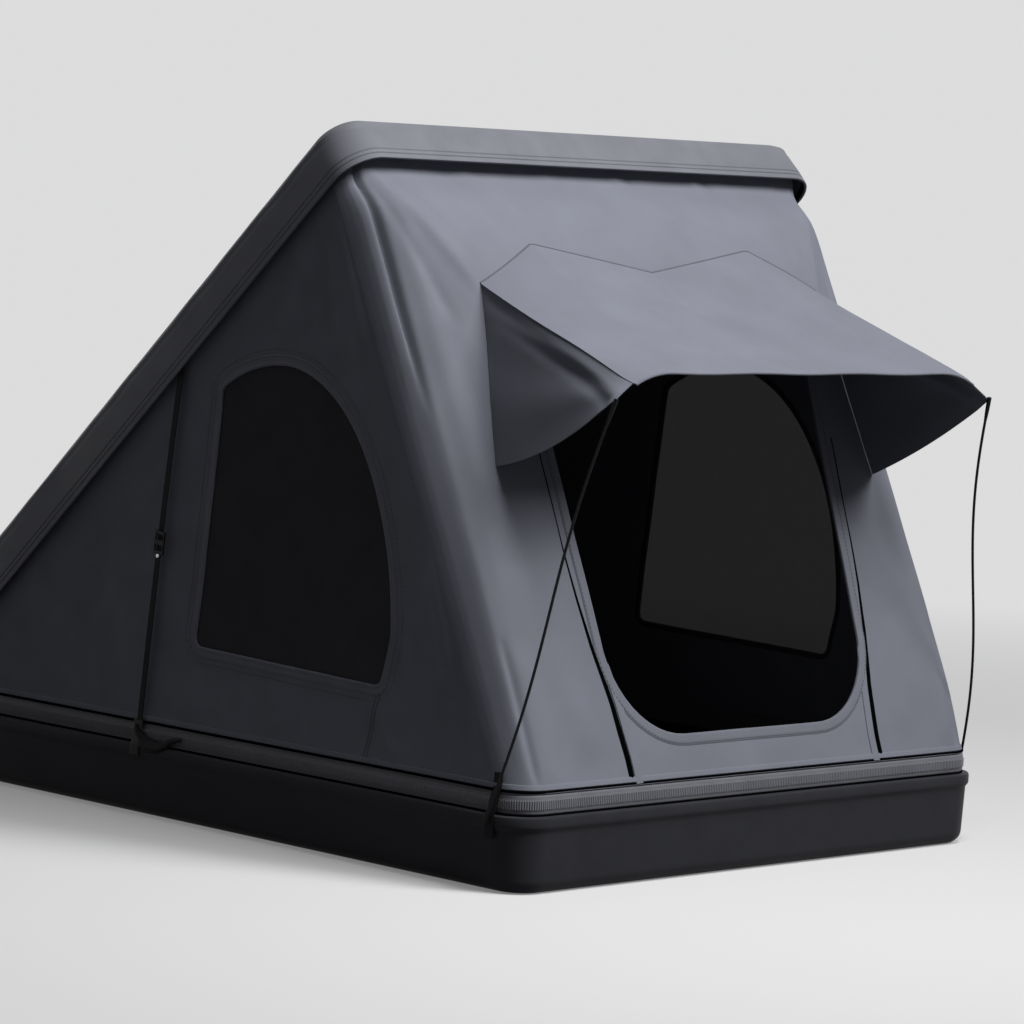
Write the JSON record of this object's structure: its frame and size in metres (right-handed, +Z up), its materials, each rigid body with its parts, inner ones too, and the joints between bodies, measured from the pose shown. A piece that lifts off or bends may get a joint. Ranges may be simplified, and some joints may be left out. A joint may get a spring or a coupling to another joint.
{
  "type": "roof top tent",
  "caption": "Hard-shell wedge roof top tent, open: moulded base and lid on a rear hinge, canvas walls, side windows, and a door under an awning on sprung rods.",
  "frame": {"origin": "centre of the four rack bolt holes, on the underside of the base", "axes": "+Z up, the door end faces -Y, the hinge end +Y, +X to the right of someone who looks along +Y at the door"},
  "size_m": [1.539, 2.2988, 1.6082],
  "materials": {
    "tray_plastic": "black moulded plastic, glossy",
    "band_plastic": "dark grey moulded plastic, satin",
    "lid_plastic": "dark grey moulded plastic, satin",
    "zip": "black coil zip",
    "board": "sealed board",
    "bed_cover": "woven mattress cover",
    "alloy": "plain extrusion",
    "black_steel": "black powder coat",
    "steel": "bright steel",
    "wall_cloth": "coated slate grey canvas",
    "mesh": "black insect mesh",
    "binding": "dark binding tape",
    "webbing": "black webbing",
    "hard_black": "black moulded fitting",
    "liner": "grey lining",
    "seal": "black rubber",
    "rod_black": "black glass fibre rod"
  },
  "bodies": {
    "base": {"base_tray": "tray_plastic", "rim_band": "band_plastic", "zip_track": "zip", "floor_panel": "board", "mattress": "bed_cover", "mounting_rails": "alloy", "hinge_bracket_left": "black_steel", "hinge_bracket_right": "black_steel", "hinge_pins": "steel", "strut_bracket_left": "steel", "strut_bracket_right": "steel", "left_wall": "wall_cloth", "right_wall": "wall_cloth", "front_wall": "wall_cloth", "rear_wall": "wall_cloth", "window_mesh_left": "mesh", "window_mesh_right": "mesh", "window_binding_left": "binding", "window_binding_right": "binding", "door_binding": "binding", "door_zips": "zip", "awning_panel": "wall_cloth", "awning_wing_left": "wall_cloth", "awning_wing_right": "wall_cloth", "side_strap_left": "webbing", "side_strap_right": "webbing", "strap_adjuster_left": "hard_black", "strap_adjuster_right": "hard_black", "strap_hook_left": "hard_black", "strap_hook_right": "hard_black", "rod_tab_left": "webbing", "rod_tab_right": "webbing"},
    "lid": {"lid_shell": "lid_plastic", "lid_liner": "liner", "lid_seal": "seal", "fabric_rail": "alloy", "hinge_arm_left": "black_steel", "hinge_arm_right": "black_steel", "strut_stud_left": "steel", "strut_stud_right": "steel"},
    "strut_barrel_left": {"strut_barrel_left": "black_steel"},
    "strut_barrel_right": {"strut_barrel_right": "black_steel"},
    "strut_rod_left": {"strut_rod_left": "steel"},
    "strut_rod_right": {"strut_rod_right": "steel"},
    "awning_rod_left": {"awning_rod_left": "rod_black"},
    "awning_rod_right": {"awning_rod_right": "rod_black"}
  },
  "joints": [
    {"name": "lid_hinge", "type": "hinge", "parent": "base", "child": "lid", "pos_m": [0, 1.1, 0.045], "axis": [1, 0, 0], "range_deg": [0, 41], "deforming": ["left_wall", "right_wall", "front_wall", "rear_wall", "window_mesh_left", "window_mesh_right", "window_binding_left", "window_binding_right", "door_binding", "door_zips", "awning_panel", "awning_wing_left", "awning_wing_right", "side_strap_left", "side_strap_right", "strap_adjuster_left", "strap_adjuster_right", "strap_hook_left", "strap_hook_right", "rod_tab_left", "rod_tab_right", "awning_rod_left", "awning_rod_right"]},
    {"name": "strut_swing_left", "type": "hinge", "parent": "base", "child": "strut_barrel_left", "pos_m": [-0.688, 0.8, 0.103], "axis": [1, 0, 0], "range_deg": [0, 59.5]},
    {"name": "strut_swing_right", "type": "hinge", "parent": "base", "child": "strut_barrel_right", "pos_m": [0.688, 0.8, 0.103], "axis": [1, 0, 0], "range_deg": [0, 59.5]},
    {"name": "strut_stroke_left", "type": "slide", "parent": "strut_barrel_left", "child": "strut_rod_left", "axis": [0, -0.218, 0.9759], "range_m": [-0.1302, 0]},
    {"name": "strut_stroke_right", "type": "slide", "parent": "strut_barrel_right", "child": "strut_rod_right", "axis": [0, -0.218, 0.9759], "range_m": [-0.1302, 0]},
    {"name": "awning_rod_swing_left", "type": "hinge", "parent": "base", "child": "awning_rod_left", "pos_m": [-0.764, -0.93, 0.147], "axis": [0, -1, 0], "range_deg": [0, 35]},
    {"name": "awning_rod_swing_right", "type": "hinge", "parent": "base", "child": "awning_rod_right", "pos_m": [0.764, -0.93, 0.147], "axis": [0, 1, 0], "range_deg": [0, 35]}
  ],
  "couplings": [
    {"joint": "strut_swing_left", "follows": "lid_hinge", "ratio": 1.4467},
    {"joint": "strut_swing_right", "follows": "lid_hinge", "ratio": 1.4467},
    {"joint": "strut_stroke_left", "follows": "lid_hinge", "m_per_rad": -0.18149},
    {"joint": "strut_stroke_right", "follows": "lid_hinge", "m_per_rad": -0.18149}
  ]
}
